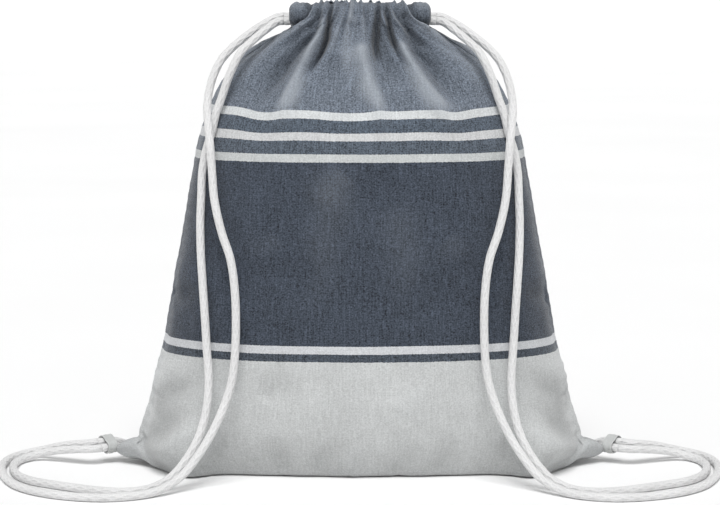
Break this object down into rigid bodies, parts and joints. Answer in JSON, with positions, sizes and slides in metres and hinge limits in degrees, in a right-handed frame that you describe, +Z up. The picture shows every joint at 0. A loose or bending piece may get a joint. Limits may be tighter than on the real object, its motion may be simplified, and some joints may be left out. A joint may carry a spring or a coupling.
{
  "type": "drawstring backpack",
  "caption": "Filled cotton drawstring backpack standing upright, with gathered casings, thick cord shoulder straps and corner loops.",
  "frame": {"origin": "middle of the flat base, on the surface the bag stands on", "axes": "+Z up, -Y towards the front of the bag, +X along its width"},
  "size_m": [0.5428, 0.2003, 0.348],
  "materials": {
    "cloth": "matte plain weave, blue-grey with white stripes above an off-white base",
    "casing_cloth": "matte plain weave, gathered",
    "loop_tape": "matte off-white cotton",
    "cord": "soft off-white braided cotton",
    "sewing_thread": "matte blue-grey thread",
    "seam_thread": "matte off-white thread"
  },
  "bodies": {
    "root": {"front_panel": "cloth", "back_panel": "cloth", "front_casing": "casing_cloth", "back_casing": "casing_cloth", "front_casing_stitching": "sewing_thread", "back_casing_stitching": "sewing_thread", "left_side_seam": "seam_thread", "right_side_seam": "seam_thread", "bottom_seam": "seam_thread", "left_drawcord_in_casing": "cord", "right_drawcord_in_casing": "cord", "left_strap_back_run": "cord", "right_strap_back_run": "cord", "left_strap_front_run": "cord", "right_strap_front_run": "cord", "left_cord_end_back": "cord", "right_cord_end_back": "cord", "left_cord_end_front": "cord", "right_cord_end_front": "cord", "left_cord_knot": "cord", "right_cord_knot": "cord", "left_corner_loop": "loop_tape", "right_corner_loop": "loop_tape", "left_loop_bartack": "seam_thread", "right_loop_bartack": "seam_thread", "left_slit_bartack": "sewing_thread", "right_slit_bartack": "sewing_thread"}
  },
  "joints": []
}
